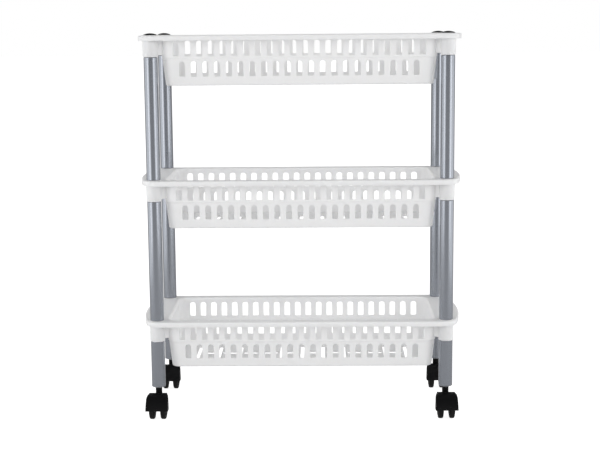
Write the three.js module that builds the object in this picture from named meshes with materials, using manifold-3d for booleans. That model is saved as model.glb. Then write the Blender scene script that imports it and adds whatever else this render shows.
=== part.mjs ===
// Three-tier rolling trolley: three slotted plastic baskets carried on four tubular legs,
// each leg standing on a hooded twin-wheel caster.
// Millimetres, +Z up, +X to the right, the long open front facing -Y. The wheels stand on z = 0.
import * as THREE from 'three';
import { mergeGeometries, mergeVertices } from 'three/addons/utils/BufferGeometryUtils.js';
import Module from 'manifold-3d';

const wasm = await Module();
wasm.setup();

// ---------- driving dimensions ----------

// Legs
const LEG_SPACING_X = 458;
const LEG_SPACING_Y = 177;
const TUBE_RADIUS = 11;
const TUBE_BORE_RADIUS = 10;
const PLUG_RADIUS = 9.4;
const PLUG_DEPTH = 18;
const FIT_GAP = 0.3;
const CUT_MARGIN = 1;
const FOOT_TUBE_BOTTOM = 50;

// Tiers, counted from the top; each height is the rim's flat top face
const TIER_PITCH = 224;
const TOP_RIM_HEIGHT = 605;
const TIER_NAMES = ['top', 'middle', 'bottom'];

// Rim: a flat flange with a lip turned down, bowed outwards at both ends
const RIM_HALF_LENGTH = 256.5;
const RIM_HALF_DEPTH = 106;
const RIM_END_RADIUS = 380;
const RIM_CORNER_RADIUS = 26;
const RIM_THICKNESS = 2.5;
const LIP_HEIGHT = 8;
const LIP_THICKNESS = 2.2;

// Tub: a nearly upright upper band, a small step, and a tapered lower band
const TUB_HALF_LENGTH = 214;
const TUB_HALF_DEPTH = 89;
const TUB_CORNER_RADIUS = 18;
const TUB_DEPTH = 77.5;
const TUB_WALL = 2;
const FLOOR_THICKNESS = 2.5;
const STEP_DEPTH = 34;
const STEP_WIDTH = 0.8;
const UPPER_DRAFT = 0.4;
const LOWER_TAPER = 4.5;
const FOOT_CHAMFER = 1;

// Slots in the walls: two rows, the lower one shifted by half a pitch
const SLOT_PITCH = 18.1;
const SLOT_WIDTH = 9.2;
const UPPER_SLOT = { top: -8.2, bottom: -31.8, arch: 3.2, sideCount: 22, endCount: 8 };
const LOWER_SLOT = { top: -39.6, bottom: -62.8, arch: 4.6, sideCount: 21, endCount: 7 };

// Openings in the floor: a long slot in every column, and a window between each two columns
const FLOOR_COLUMN_PITCH = 34.3;
const FLOOR_COLUMNS = 11;
const FLOOR_SLOT = { x: 6, y: 84 };
const FLOOR_WINDOW = { x: 22, y: 13 };

// Corner collars under the rim, each with a low ring on top and a web to the tub's corner
const COLLAR_TOP_RADIUS = 12.2;
const COLLAR_BOTTOM_RADIUS = 11.7;
const COLLAR_DEPTH = 32.8;
const COLLAR_RING_HEIGHT = 0.6;
const COLLAR_WEB_THICKNESS = 2.4;
const COLLAR_WEB_DEPTH = 30;

// Domed caps on the top corners
const CAP_RADIUS = 10.9;
const CAP_RISE = 2.7;

// Casters, measured from the leg's axis; they trail towards the front
const TRAIL = 14;
const WHEEL_RADIUS = 19;
const WHEEL_INNER_FACE = 4.4;
const WHEEL_OUTER_FACE = 13.5;
const WHEEL_DISC_RADIUS = 11;
const WHEEL_TAPER = 0.5;
const WHEEL_EDGE = 2;
const HOOD_RADIUS = 22.5;
const HOOD_HALF_WIDTH = 18;
const HOOD_SHOULDER = 5.5;
const HOOD_BULGE = 0.7;
const HOOD_WALL = 2.1;
const HOOD_BOTTOM = 18;
const HOOD_SIDE_DEPTH = 12;
const HOOD_REAR_EDGE = 34;
const HOOD_REAR_HALF_WIDTH = 9;
const HOOD_WEB_HALF = 2.9;
const AXLE_BOSS_RADIUS = 6;
const NECK_RADIUS = 5.2;
const NECK_TOP = 47.4;
const AXLE_RADIUS = 2.5;
const AXLE_HALF_LENGTH = 14.4;
const STEM_RADIUS = 3.5;
const STEM_GROOVE_DEPTH = 0.8;
const STEM_TIP_CHAMFER = 1.8;
const STEM_BOTTOM = 37.5;
const STEM_TOP = 84;
const FLANGE_RADIUS = 4.9;
const FLANGE_THICKNESS = 1.7;
const RING_HEIGHT = 76;
const RING_THICKNESS = 2;
const RING_RADIUS = 4.3;
const SOCKET_TOP = 88;

// Facets: steps in a corner, along a rim's end, and in a whole turn
const CORNER_STEPS = 3;
const END_STEPS = 4;
const SHOULDER_STEPS = 2;
const TURN_STEPS = 16;
const COLLAR_STEPS = 12;
const HIDDEN_STEPS = 10;
const ARCH_STEPS = 3;

const CORNERS = [
  { name: 'front_left', x: -1, y: -1 },
  { name: 'front_right', x: 1, y: -1 },
  { name: 'rear_left', x: -1, y: 1 },
  { name: 'rear_right', x: 1, y: 1 },
];

// ---------- materials ----------

const LOOKS = {
  basket: { color: 0xe9e9ec, roughness: 0.42, metalness: 0 },
  tube: { color: 0x9ba0a9, roughness: 0.35, metalness: 0.6 },
  blackPlastic: { color: 0x141416, roughness: 0.4, metalness: 0 },
  wheel: { color: 0x1b1b1d, roughness: 0.55, metalness: 0 },
  joiner: { color: 0xdcdcdf, roughness: 0.5, metalness: 0 },
  steel: { color: 0xb9bcc0, roughness: 0.3, metalness: 0.9 },
};

function named(name, geometry, look) {
  const mesh = new THREE.Mesh(geometry, new THREE.MeshStandardMaterial(LOOKS[look]));
  mesh.name = name;
  return mesh;
}

// ---------- geometry helpers ----------

function toSolid(geometry) {
  const bare = geometry.clone();
  bare.deleteAttribute('normal');
  bare.deleteAttribute('uv');
  const merged = mergeVertices(bare, 1e-4);
  return new wasm.Manifold(new wasm.Mesh({
    numProp: 3,
    vertProperties: new Float32Array(merged.getAttribute('position').array),
    triVerts: new Uint32Array(merged.index.array),
  }));
}

function toGeometry(solid) {
  const mesh = solid.getMesh();
  const geometry = new THREE.BufferGeometry();
  geometry.setAttribute('position', new THREE.BufferAttribute(mesh.vertProperties, 3));
  geometry.setIndex(new THREE.BufferAttribute(mesh.triVerts, 1));
  return geometry;
}

// Points along an arc. The last one is left out where the next arc starts on it.
function arc(centreX, centreY, radius, from, to, steps, keepLast = true) {
  const points = [];
  const count = keepLast ? steps : steps - 1;
  for (let i = 0; i <= count; i += 1) {
    const angle = from + ((to - from) * i) / steps;
    points.push(new THREE.Vector2(
      centreX + radius * Math.cos(angle),
      centreY + radius * Math.sin(angle),
    ));
  }
  return points;
}

function roundedRectangle(halfX, halfY, radius) {
  const x = halfX - radius;
  const y = halfY - radius;
  const quarter = Math.PI / 2;
  return [
    ...arc(x, -y, radius, -quarter, 0, CORNER_STEPS),
    ...arc(x, y, radius, 0, quarter, CORNER_STEPS),
    ...arc(-x, y, radius, quarter, 2 * quarter, CORNER_STEPS),
    ...arc(-x, -y, radius, 2 * quarter, 3 * quarter, CORNER_STEPS),
  ];
}

// The rim's plan: straight long sides, round corners, and shallow arcs across both ends.
function rimOutline(inset) {
  const endCentre = RIM_HALF_LENGTH - RIM_END_RADIUS;
  const cornerY = RIM_HALF_DEPTH - RIM_CORNER_RADIUS;
  const reach = RIM_END_RADIUS - RIM_CORNER_RADIUS;
  const cornerX = endCentre + Math.sqrt(reach * reach - cornerY * cornerY);
  const join = Math.asin(cornerY / reach);
  const cornerRadius = RIM_CORNER_RADIUS - inset;
  const endRadius = RIM_END_RADIUS - inset;
  const half = Math.PI / 2;
  return [
    ...arc(cornerX, -cornerY, cornerRadius, -half, -join, CORNER_STEPS, false),
    ...arc(endCentre, 0, endRadius, -join, join, END_STEPS, false),
    ...arc(cornerX, cornerY, cornerRadius, join, half, CORNER_STEPS),
    ...arc(-cornerX, cornerY, cornerRadius, half, Math.PI - join, CORNER_STEPS, false),
    ...arc(-endCentre, 0, endRadius, Math.PI - join, Math.PI + join, END_STEPS, false),
    ...arc(-cornerX, -cornerY, cornerRadius, Math.PI + join, 3 * half, CORNER_STEPS),
  ];
}

// A closed solid through convex outlines of equal point count, from the lowest ring to the highest.
function loft(rings) {
  const count = rings[0].outline.length;
  const positions = rings.flatMap(({ outline, z }) => outline.flatMap((p) => [p.x, p.y, z]));
  const faces = [];
  for (let ring = 0; ring < rings.length - 1; ring += 1) {
    for (let i = 0; i < count; i += 1) {
      const a = ring * count + i;
      const b = ring * count + ((i + 1) % count);
      faces.push(a, b, b + count, a, b + count, a + count);
    }
  }
  const last = (rings.length - 1) * count;
  for (let i = 1; i < count - 1; i += 1) {
    faces.push(0, i + 1, i);
    faces.push(last, last + i, last + i + 1);
  }
  const geometry = new THREE.BufferGeometry();
  geometry.setAttribute('position', new THREE.Float32BufferAttribute(positions, 3));
  geometry.setIndex(faces);
  return geometry;
}

function prism(outline, low, high) {
  return loft([{ outline, z: low }, { outline, z: high }]);
}

// A turned solid about Z from [radius, height] pairs that run upwards on the outside.
function turned(profile, steps = TURN_STEPS) {
  const points = profile.map(([radius, height]) => new THREE.Vector2(radius, height));
  const geometry = new THREE.LatheGeometry(points, steps);
  geometry.rotateX(Math.PI / 2);
  const bare = geometry.deleteAttribute('normal').deleteAttribute('uv');
  return toGeometry(toSolid(mergeVertices(bare, 1e-4)));
}

// The same, about X: heights become distances along X.
function turnedAlongX(profile, steps = TURN_STEPS) {
  return turned(profile, steps).rotateY(Math.PI / 2);
}

function ringProfile(innerRadius, outerRadius, low, high) {
  return [
    [innerRadius, low],
    [outerRadius, low],
    [outerRadius, high],
    [innerRadius, high],
    [innerRadius, low],
  ];
}

function block(lowX, highX, lowY, highY, lowZ, highZ) {
  const box = new THREE.BoxGeometry(highX - lowX, highY - lowY, highZ - lowZ);
  return box.translate((lowX + highX) / 2, (lowY + highY) / 2, (lowZ + highZ) / 2);
}

// ---------- baskets ----------

function tubOutline(depthBelowRim, inset) {
  const below = Math.max(0, depthBelowRim - STEP_DEPTH) / (TUB_DEPTH - STEP_DEPTH);
  const draft = depthBelowRim <= STEP_DEPTH
    ? (UPPER_DRAFT * depthBelowRim) / STEP_DEPTH
    : UPPER_DRAFT + STEP_WIDTH + LOWER_TAPER * below;
  const total = draft + inset;
  return roundedRectangle(TUB_HALF_LENGTH - total, TUB_HALF_DEPTH - total, TUB_CORNER_RADIUS - inset);
}

function tubOutside() {
  return toSolid(loft([
    { outline: tubOutline(TUB_DEPTH, FOOT_CHAMFER), z: -TUB_DEPTH },
    { outline: tubOutline(TUB_DEPTH - FOOT_CHAMFER, 0), z: FOOT_CHAMFER - TUB_DEPTH },
    { outline: tubOutline(STEP_DEPTH + STEP_WIDTH, 0), z: -STEP_DEPTH - STEP_WIDTH },
    { outline: tubOutline(STEP_DEPTH, 0), z: -STEP_DEPTH },
    { outline: tubOutline(0, 0), z: 0 },
  ]));
}

function tubInside() {
  const floor = TUB_DEPTH - FLOOR_THICKNESS;
  return toSolid(loft([
    { outline: tubOutline(floor, TUB_WALL), z: -floor },
    { outline: tubOutline(STEP_DEPTH + STEP_WIDTH, TUB_WALL), z: -STEP_DEPTH - STEP_WIDTH },
    { outline: tubOutline(STEP_DEPTH, TUB_WALL), z: -STEP_DEPTH },
    { outline: tubOutline(0, TUB_WALL), z: 0 },
    { outline: tubOutline(0, TUB_WALL), z: CUT_MARGIN },
  ]));
}

// One slot's outline, flat at the bottom and arched at the top.
function slotOutline(centre, { top, bottom, arch }) {
  const half = SLOT_WIDTH / 2;
  const upper = arc(0, 0, 1, 0, Math.PI, ARCH_STEPS);
  return [
    new THREE.Vector2(centre - half, bottom),
    new THREE.Vector2(centre + half, bottom),
    ...upper.map((point) => new THREE.Vector2(
      centre + half * point.x,
      top + arch * (point.y - 1),
    )),
  ];
}

function slotRow(row, count, reach) {
  const cutters = [];
  for (let i = 0; i < count; i += 1) {
    const centre = (i - (count - 1) / 2) * SLOT_PITCH;
    cutters.push(prism(slotOutline(centre, row), -reach, reach).rotateX(Math.PI / 2));
  }
  return cutters;
}

function sideSlots() {
  const reach = TUB_HALF_DEPTH + CUT_MARGIN;
  return toSolid(mergeGeometries([
    ...slotRow(UPPER_SLOT, UPPER_SLOT.sideCount, reach),
    ...slotRow(LOWER_SLOT, LOWER_SLOT.sideCount, reach),
  ]));
}

function endSlots() {
  const reach = TUB_HALF_LENGTH + CUT_MARGIN;
  return toSolid(mergeGeometries([
    ...slotRow(UPPER_SLOT, UPPER_SLOT.endCount, reach),
    ...slotRow(LOWER_SLOT, LOWER_SLOT.endCount, reach),
  ]).rotateZ(Math.PI / 2));
}

function floorCutter(centre, size) {
  const low = -TUB_DEPTH - CUT_MARGIN;
  const high = FLOOR_THICKNESS + CUT_MARGIN - TUB_DEPTH;
  const halfX = size.x / 2;
  const halfY = size.y / 2;
  return block(centre - halfX, centre + halfX, -halfY, halfY, low, high);
}

function floorSlots() {
  const cutters = [];
  for (let i = 0; i < FLOOR_COLUMNS; i += 1) {
    const x = (i - (FLOOR_COLUMNS - 1) / 2) * FLOOR_COLUMN_PITCH;
    cutters.push(floorCutter(x, FLOOR_SLOT));
    if (i === FLOOR_COLUMNS - 1) continue;
    cutters.push(floorCutter(x + FLOOR_COLUMN_PITCH / 2, FLOOR_WINDOW));
  }
  return toSolid(mergeGeometries(cutters));
}

function collar(x, y) {
  const outside = turned([
    [0, -COLLAR_DEPTH],
    [COLLAR_BOTTOM_RADIUS, -COLLAR_DEPTH],
    [COLLAR_TOP_RADIUS, -RIM_THICKNESS],
    [COLLAR_TOP_RADIUS, COLLAR_RING_HEIGHT],
    [0, COLLAR_RING_HEIGHT],
  ], COLLAR_STEPS);
  return toSolid(outside.translate(x, y, 0));
}

function collarBore(x, y) {
  const bore = turned([
    [0, -COLLAR_DEPTH - CUT_MARGIN],
    [TUBE_BORE_RADIUS, -COLLAR_DEPTH - CUT_MARGIN],
    [TUBE_BORE_RADIUS, COLLAR_RING_HEIGHT + CUT_MARGIN],
    [0, COLLAR_RING_HEIGHT + CUT_MARGIN],
  ], COLLAR_STEPS);
  return toSolid(bore.translate(x, y, 0));
}

// A thin wall from the middle of a collar into the tub's corner.
function collarWeb(x, y) {
  const towardsX = TUB_HALF_LENGTH - TUB_CORNER_RADIUS - Math.abs(x);
  const towardsY = TUB_HALF_DEPTH - TUB_CORNER_RADIUS - Math.abs(y);
  const length = Math.hypot(towardsX, towardsY) - TUB_CORNER_RADIUS + TUB_WALL / 2;
  const half = COLLAR_WEB_THICKNESS / 2;
  const web = block(0, length, -half, half, -COLLAR_WEB_DEPTH, -RIM_THICKNESS / 2);
  const turn = Math.atan2(Math.sign(y) * towardsY, Math.sign(x) * towardsX);
  return toSolid(web.rotateZ(turn).translate(x, y, 0));
}

function basketGeometry() {
  const lipOutside = toSolid(prism(rimOutline(0), -LIP_HEIGHT, 0));
  const lipLow = -LIP_HEIGHT - CUT_MARGIN;
  const lipInside = toSolid(prism(rimOutline(LIP_THICKNESS), lipLow, -RIM_THICKNESS));
  let basket = lipOutside.subtract(lipInside).add(tubOutside());
  for (const corner of CORNERS) {
    const x = (corner.x * LEG_SPACING_X) / 2;
    const y = (corner.y * LEG_SPACING_Y) / 2;
    basket = basket.add(collarWeb(x, y)).add(collar(x, y)).subtract(collarBore(x, y));
  }
  basket = basket.subtract(tubInside()).subtract(sideSlots()).subtract(endSlots());
  return toGeometry(basket.subtract(floorSlots()));
}

// ---------- legs ----------

function tubeGeometry(low, high) {
  return turned(ringProfile(TUBE_BORE_RADIUS, TUBE_RADIUS, low, high));
}

// A hollow spigot through a collar, held in the tube above it and the tube below it.
function joinerGeometry() {
  const low = -COLLAR_DEPTH - PLUG_DEPTH;
  const high = COLLAR_RING_HEIGHT + PLUG_DEPTH;
  return turned(ringProfile(PLUG_RADIUS - TUB_WALL, PLUG_RADIUS, low, high), HIDDEN_STEPS);
}

function capGeometry() {
  const underside = COLLAR_RING_HEIGHT + FIT_GAP;
  const sphere = (CAP_RADIUS * CAP_RADIUS + CAP_RISE * CAP_RISE) / (2 * CAP_RISE);
  const edge = Math.acos(CAP_RADIUS / sphere);
  const dome = arc(0, underside + CAP_RISE - sphere, sphere, edge, Math.PI / 2, CORNER_STEPS, false);
  return turned([
    [0, -COLLAR_DEPTH - PLUG_DEPTH],
    [PLUG_RADIUS, -COLLAR_DEPTH - PLUG_DEPTH],
    [PLUG_RADIUS, underside],
    ...dome.map((point) => [point.x, point.y]),
    [0, underside + CAP_RISE],
  ]);
}

// ---------- casters, about the leg's axis with the ground at z = 0 ----------

function placeOnAxle(geometry) {
  return geometry.translate(0, -TRAIL, WHEEL_RADIUS);
}

// The hood seen from the front: sides that lean in towards a flat crown with round shoulders.
function hoodFront(inset, bottom) {
  const half = HOOD_HALF_WIDTH - inset;
  const crown = HOOD_HALF_WIDTH - HOOD_BULGE - HOOD_SHOULDER;
  const height = WHEEL_RADIUS + HOOD_RADIUS - HOOD_SHOULDER;
  const radius = HOOD_SHOULDER - inset;
  return [
    new THREE.Vector2(-half, bottom),
    new THREE.Vector2(half, bottom),
    ...arc(crown, height, radius, 0, Math.PI / 2, SHOULDER_STEPS),
    ...arc(-crown, height, radius, Math.PI / 2, Math.PI, SHOULDER_STEPS),
  ];
}

// What a drum about the axle and the hood's front outline have in common, moved in by inset.
function hoodBody(inset, lowX, highX, bottom) {
  const radius = HOOD_RADIUS - inset;
  const drum = turnedAlongX([[0, lowX], [radius, lowX], [radius, highX], [0, highX]]);
  const reach = HOOD_RADIUS + CUT_MARGIN;
  const front = prism(hoodFront(inset, bottom), -reach, reach).rotateX(Math.PI / 2);
  return toSolid(placeOnAxle(drum)).intersect(toSolid(front.translate(0, -TRAIL, 0)));
}

// The hood seen from above: sides that draw in towards the rear.
function hoodPlan() {
  const frontY = -TRAIL - HOOD_RADIUS;
  const rearY = -TRAIL + HOOD_RADIUS;
  return [
    new THREE.Vector2(-HOOD_HALF_WIDTH - CUT_MARGIN, frontY - CUT_MARGIN),
    new THREE.Vector2(HOOD_HALF_WIDTH + CUT_MARGIN, frontY - CUT_MARGIN),
    new THREE.Vector2(HOOD_HALF_WIDTH + CUT_MARGIN, frontY + HOOD_SIDE_DEPTH - CUT_MARGIN),
    new THREE.Vector2(HOOD_REAR_HALF_WIDTH, rearY + CUT_MARGIN),
    new THREE.Vector2(-HOOD_REAR_HALF_WIDTH, rearY + CUT_MARGIN),
    new THREE.Vector2(-HOOD_HALF_WIDTH - CUT_MARGIN, frontY + HOOD_SIDE_DEPTH - CUT_MARGIN),
  ];
}

function hoodGeometry() {
  const shell = hoodBody(0, -HOOD_HALF_WIDTH, HOOD_HALF_WIDTH, HOOD_BOTTOM)
    .intersect(toSolid(prism(hoodPlan(), 0, NECK_TOP)));
  const boss = toSolid(placeOnAxle(
    turnedAlongX([
      [0, -HOOD_WEB_HALF],
      [AXLE_BOSS_RADIUS, -HOOD_WEB_HALF],
      [AXLE_BOSS_RADIUS, HOOD_WEB_HALF],
      [0, HOOD_WEB_HALF],
    ]),
  ));
  const neck = toSolid(turned([
    [0, HOOD_BOTTOM + CUT_MARGIN],
    [NECK_RADIUS, HOOD_BOTTOM + CUT_MARGIN],
    [NECK_RADIUS, NECK_TOP],
    [0, NECK_TOP],
  ]));
  // Behind the side walls the lower edge rises to the rear, where the wheels stand free.
  const rise = Math.atan2(HOOD_REAR_EDGE - HOOD_BOTTOM, 2 * HOOD_RADIUS - HOOD_SIDE_DEPTH);
  const reach = 3 * HOOD_RADIUS;
  const below = block(-reach, reach, -reach, reach, -reach, 0).rotateX(rise);
  below.translate(0, -TRAIL - HOOD_RADIUS + HOOD_SIDE_DEPTH, HOOD_BOTTOM);
  let hood = shell.subtract(toSolid(below)).add(neck);
  const opening = HOOD_BOTTOM - CUT_MARGIN;
  hood = hood.subtract(hoodBody(HOOD_WALL, HOOD_WEB_HALF, HOOD_HALF_WIDTH, opening));
  hood = hood.subtract(hoodBody(HOOD_WALL, -HOOD_HALF_WIDTH, -HOOD_WEB_HALF, opening));
  hood = hood.add(hoodBody(0, -HOOD_WEB_HALF, HOOD_WEB_HALF, HOOD_BOTTOM)).add(boss);
  const axleHole = AXLE_RADIUS + FIT_GAP;
  const axleBore = turnedAlongX([
    [0, -HOOD_WEB_HALF - CUT_MARGIN],
    [axleHole, -HOOD_WEB_HALF - CUT_MARGIN],
    [axleHole, HOOD_WEB_HALF + CUT_MARGIN],
    [0, HOOD_WEB_HALF + CUT_MARGIN],
  ]);
  const stemHole = STEM_RADIUS + FIT_GAP;
  const stemBore = turned([
    [0, STEM_BOTTOM - FIT_GAP],
    [stemHole, STEM_BOTTOM - FIT_GAP],
    [stemHole, FOOT_TUBE_BOTTOM],
    [0, FOOT_TUBE_BOTTOM],
  ]);
  return toGeometry(hood.subtract(toSolid(placeOnAxle(axleBore))).subtract(toSolid(stemBore)));
}

function wheelGeometry() {
  const bore = AXLE_RADIUS + FIT_GAP;
  const innerEdge = WHEEL_INNER_FACE + WHEEL_TAPER;
  const outerEdge = WHEEL_OUTER_FACE - WHEEL_TAPER;
  return turnedAlongX([
    [bore, WHEEL_INNER_FACE],
    [WHEEL_DISC_RADIUS, WHEEL_INNER_FACE],
    [WHEEL_RADIUS - WHEEL_EDGE, innerEdge],
    [WHEEL_RADIUS, innerEdge + WHEEL_EDGE],
    [WHEEL_RADIUS, outerEdge - WHEEL_EDGE],
    [WHEEL_RADIUS - WHEEL_EDGE, outerEdge],
    [WHEEL_DISC_RADIUS, WHEEL_OUTER_FACE],
    [bore, WHEEL_OUTER_FACE],
    [bore, WHEEL_INNER_FACE],
  ]);
}

function axleGeometry() {
  return turnedAlongX([
    [0, -AXLE_HALF_LENGTH],
    [AXLE_RADIUS, -AXLE_HALF_LENGTH],
    [AXLE_RADIUS, AXLE_HALF_LENGTH],
    [0, AXLE_HALF_LENGTH],
  ], HIDDEN_STEPS);
}

// The steel stem, with a flange between the neck and the foot of the leg.
function stemGeometry() {
  const groove = STEM_RADIUS - STEM_GROOVE_DEPTH;
  const flangeLow = NECK_TOP + FIT_GAP;
  const flangeHigh = flangeLow + FLANGE_THICKNESS;
  return turned([
    [0, STEM_BOTTOM],
    [STEM_RADIUS, STEM_BOTTOM],
    [STEM_RADIUS, flangeLow],
    [FLANGE_RADIUS, flangeLow],
    [FLANGE_RADIUS, flangeHigh],
    [STEM_RADIUS, flangeHigh],
    [STEM_RADIUS, RING_HEIGHT - FIT_GAP],
    [groove, RING_HEIGHT - FIT_GAP],
    [groove, RING_HEIGHT + RING_THICKNESS + FIT_GAP],
    [STEM_RADIUS, RING_HEIGHT + RING_THICKNESS + FIT_GAP],
    [STEM_RADIUS, STEM_TOP - STEM_TIP_CHAMFER],
    [STEM_RADIUS - STEM_TIP_CHAMFER, STEM_TOP],
    [0, STEM_TOP],
  ], HIDDEN_STEPS);
}

// A spring ring that sits in the stem's groove.
function gripRingGeometry() {
  const inner = STEM_RADIUS - STEM_GROOVE_DEPTH + FIT_GAP;
  const profile = ringProfile(inner, RING_RADIUS, RING_HEIGHT, RING_HEIGHT + RING_THICKNESS);
  return turned(profile, HIDDEN_STEPS);
}

// The insert pressed into the foot tube, with a groove that the grip ring snaps into.
function socketGeometry() {
  const bore = STEM_RADIUS + FIT_GAP;
  const grooveLow = RING_HEIGHT - 2 * FIT_GAP;
  const grooveHigh = RING_HEIGHT + RING_THICKNESS + 2 * FIT_GAP;
  const groove = RING_RADIUS + FIT_GAP;
  return turned([
    [bore, FOOT_TUBE_BOTTOM],
    [PLUG_RADIUS, FOOT_TUBE_BOTTOM],
    [PLUG_RADIUS, SOCKET_TOP],
    [0, SOCKET_TOP],
    [0, STEM_TOP + CUT_MARGIN],
    [bore, STEM_TOP + CUT_MARGIN],
    [bore, grooveHigh],
    [groove, grooveHigh],
    [groove, grooveLow],
    [bore, grooveLow],
    [bore, FOOT_TUBE_BOTTOM],
  ], HIDDEN_STEPS);
}

// ---------- assembly ----------

const trolley = new THREE.Group();

const tiers = TIER_NAMES.map((name, index) => ({
  name,
  height: TOP_RIM_HEIGHT - index * TIER_PITCH,
}));

for (const tier of tiers) {
  const basket = named(`basket_${tier.name}`, basketGeometry(), 'basket');
  basket.position.z = tier.height;
  trolley.add(basket);
}

function addLeg(corner) {
  const leg = new THREE.Group();
  leg.position.set((corner.x * LEG_SPACING_X) / 2, (corner.y * LEG_SPACING_Y) / 2, 0);
  const [top, middle, bottom] = tiers.map((tier) => tier.height);
  const under = COLLAR_DEPTH + FIT_GAP;
  const over = COLLAR_RING_HEIGHT + FIT_GAP;
  leg.add(named(`upper_tube_${corner.name}`, tubeGeometry(middle + over, top - under), 'tube'));
  leg.add(named(`lower_tube_${corner.name}`, tubeGeometry(bottom + over, middle - under), 'tube'));
  leg.add(named(`foot_tube_${corner.name}`, tubeGeometry(FOOT_TUBE_BOTTOM, bottom - under), 'tube'));
  const cap = named(`top_cap_${corner.name}`, capGeometry(), 'blackPlastic');
  cap.position.z = top;
  leg.add(cap);
  for (const tier of tiers.slice(1)) {
    const joiner = named(`tube_joiner_${tier.name}_${corner.name}`, joinerGeometry(), 'joiner');
    joiner.position.z = tier.height;
    leg.add(joiner);
  }
  leg.add(named(`caster_socket_${corner.name}`, socketGeometry(), 'blackPlastic'));
  leg.add(casterGroup(corner));
  trolley.add(leg);
}

function casterGroup(corner) {
  const caster = new THREE.Group();
  caster.add(named(`caster_hood_${corner.name}`, hoodGeometry(), 'blackPlastic'));
  caster.add(named(`caster_stem_${corner.name}`, stemGeometry(), 'steel'));
  caster.add(named(`grip_ring_${corner.name}`, gripRingGeometry(), 'steel'));
  const axleLine = new THREE.Group();
  axleLine.position.set(0, -TRAIL, WHEEL_RADIUS);
  axleLine.add(named(`axle_${corner.name}`, axleGeometry(), 'steel'));
  for (const side of ['outer', 'inner']) {
    const wheel = named(`wheel_${side}_${corner.name}`, wheelGeometry(), 'wheel');
    const pointsLeft = (side === 'outer') === (corner.x < 0);
    wheel.rotation.z = pointsLeft ? Math.PI : 0;
    axleLine.add(wheel);
  }
  caster.add(axleLine);
  return caster;
}

CORNERS.forEach(addLeg);

// The origin is under the middle of the whole object, so the front casters' reach is balanced
// against the rear edge of the rims.
const frontReach = LEG_SPACING_Y / 2 + TRAIL + HOOD_RADIUS;
trolley.position.y = (frontReach - RIM_HALF_DEPTH) / 2;

export default trolley;
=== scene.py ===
"""Looks of the three-tier rolling basket trolley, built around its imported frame.

Metres, +Z up, the long front facing -Y. Every place comes from the frame's boxes. Lengths given
here in millimetres are the moulded details that the frame's plain solids leave out.
"""

import math

import bmesh
import bpy
from mathutils import Matrix, Vector


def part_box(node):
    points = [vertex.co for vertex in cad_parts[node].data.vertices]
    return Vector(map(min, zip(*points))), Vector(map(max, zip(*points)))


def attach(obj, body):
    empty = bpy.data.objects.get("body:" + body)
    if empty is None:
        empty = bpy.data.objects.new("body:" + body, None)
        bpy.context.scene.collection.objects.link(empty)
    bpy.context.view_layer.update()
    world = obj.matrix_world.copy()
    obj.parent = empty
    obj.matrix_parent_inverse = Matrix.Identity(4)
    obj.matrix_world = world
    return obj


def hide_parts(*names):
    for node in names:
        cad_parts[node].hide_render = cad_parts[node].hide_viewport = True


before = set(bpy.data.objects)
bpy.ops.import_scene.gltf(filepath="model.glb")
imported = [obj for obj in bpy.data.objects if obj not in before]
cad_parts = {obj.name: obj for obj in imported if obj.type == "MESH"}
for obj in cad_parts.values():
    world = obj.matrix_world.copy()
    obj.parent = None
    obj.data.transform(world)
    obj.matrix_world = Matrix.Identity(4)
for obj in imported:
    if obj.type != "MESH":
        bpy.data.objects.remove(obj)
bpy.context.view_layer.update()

MM = 0.001
CORNERS = ("front_left", "front_right", "rear_left", "rear_right")
TIERS = ("top", "middle", "bottom")

# ---------- moulded basket, in millimetres ----------
RING_HEIGHT = 0.6          # the low ring around each leg, above the rim's top face
RIM_END_RADIUS = 380.0
RIM_CORNER_RADIUS = 26.0
LIP_DROP = 8.0
LIP_ROUND = 2.4
SHEET = 2.0                # moulded wall thickness
TUB_HALF_LENGTH = 212.0    # inner faces at the rim
TUB_HALF_DEPTH = 87.0
TUB_CORNER = 16.5
MOUTH_ROUND = 2.6
STEP_AT = 34.0
STEP_SIZE = 0.8
UPPER_DRAFT = 0.4
LOWER_TAPER = 4.5
FLOOR_AT = 75.4
FLOOR_FILLET = 0.7
SLOT_HALF_PITCH = 9.05
SLOT_HALF_WIDTH = 4.6
SLOT_FOOT_ROUND = 1.1
UPPER_BAND = (-6.2, -STEP_AT)
UPPER_SLOT = (-8.2, -31.8, 3.2)     # top, bottom and the arch's rise
LOWER_BAND = (-37.8, -65.0)
LOWER_SLOT = (-39.6, -62.8, 4.6)
SIDE_COLUMNS = 22          # half pitches from the middle of a long wall to its corner
END_COLUMNS = 8
FLOOR_COLUMN_PITCH = 34.3
FLOOR_COLUMNS = 11
FLOOR_SLOT = (3.0, 42.0, 2.9)       # half sizes along X and Y, and the corner's radius
FLOOR_WINDOW = (11.0, 6.5, 1.6)
COLLAR_DROP = 32.8
COLLAR_TOP = 12.2
COLLAR_FOOT = 11.7
BORE = 10.0
WEB_HALF_THICKNESS = 1.2   # the web between a collar and the tub's corner
WEB_DROP = 30.0

# ---------- casters, in millimetres ----------
AXLE_HEIGHT = 19.0
HOOD_BOTTOM = 18.0
HOOD_SHOULDER = 5.5
HOOD_BULGE = 0.7
HOOD_WALL = 2.1
HOOD_SIDE_DEPTH = 12.0     # how far the sides run back before they draw in and their lower edge rises
HOOD_REAR_EDGE = 34.0      # the height of the lower edge at the rear
HOOD_REAR_HALF_WIDTH = 9.0
HOOD_EDGE = 0.9            # rounding of the hood's outer edges
HOOD_OPEN = 3.0            # how far its outline is carried on below its open foot
WEB_HALF = 2.9
CLEAR = 0.1                # keeps faces that would coincide apart
BOSS_RADIUS = 6.0
NECK_RADIUS = 5.2
STEM_HOLE = 3.8
AXLE_HOLE = 2.8
STEM_FOOT = 37.2
STEM_RADIUS = 3.5
FLANGE_RADIUS = 4.9
FLANGE_THICKNESS = 1.7
FLANGE_GAP = 0.3
GROOVE_RADIUS = 2.7
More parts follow.
